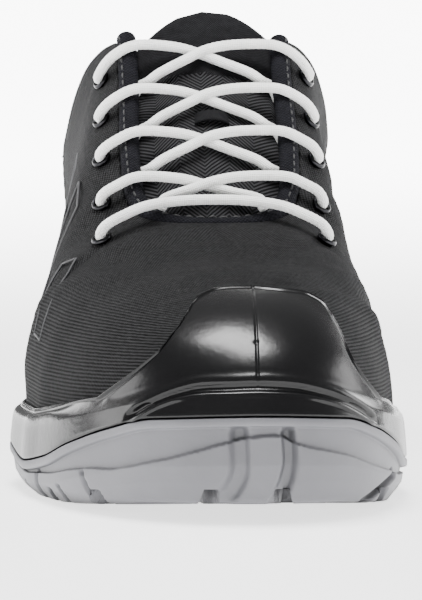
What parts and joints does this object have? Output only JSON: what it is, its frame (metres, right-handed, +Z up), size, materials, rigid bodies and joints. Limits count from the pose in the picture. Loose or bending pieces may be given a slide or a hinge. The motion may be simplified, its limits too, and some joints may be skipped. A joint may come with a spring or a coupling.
{
  "type": "safety sneaker",
  "caption": "Low safety sneaker for the right foot with a moulded toe guard, woven upper, padded tongue, laced throat and lugged rubber outsole.",
  "frame": {"origin": "centre of the sole's bounding box, on the floor under the shoe", "axes": "+Y from the toe to the heel, +X to the medial side, +Z up"},
  "size_m": [0.1117, 0.302, 0.131],
  "materials": {
    "grey_outsole_rubber": "matte",
    "black_midsole_polyurethane": "satin",
    "charcoal_woven_textile": "matte",
    "dark_padded_lining": "matte",
    "herringbone_tongue_textile": "matte",
    "insole_foam": "matte",
    "blackened_eyelet_steel": "satin",
    "white_lace_cord": "matte"
  },
  "bodies": {
    "root": {"outsole": "grey_outsole_rubber", "midsole": "black_midsole_polyurethane", "upper": "charcoal_woven_textile", "throat_binding": "dark_padded_lining", "tongue": "herringbone_tongue_textile", "insole": "insole_foam", "eyelet_lateral_1": "blackened_eyelet_steel", "eyelet_lateral_2": "blackened_eyelet_steel", "eyelet_lateral_3": "blackened_eyelet_steel", "eyelet_lateral_4": "blackened_eyelet_steel", "eyelet_lateral_5": "blackened_eyelet_steel", "eyelet_medial_1": "blackened_eyelet_steel", "eyelet_medial_2": "blackened_eyelet_steel", "eyelet_medial_3": "blackened_eyelet_steel", "eyelet_medial_4": "blackened_eyelet_steel", "eyelet_medial_5": "blackened_eyelet_steel", "lace_bar": "white_lace_cord", "lace_crossing_1": "white_lace_cord", "lace_crossing_2": "white_lace_cord", "lace_crossing_3": "white_lace_cord", "lace_crossing_4": "white_lace_cord"}
  },
  "joints": []
}
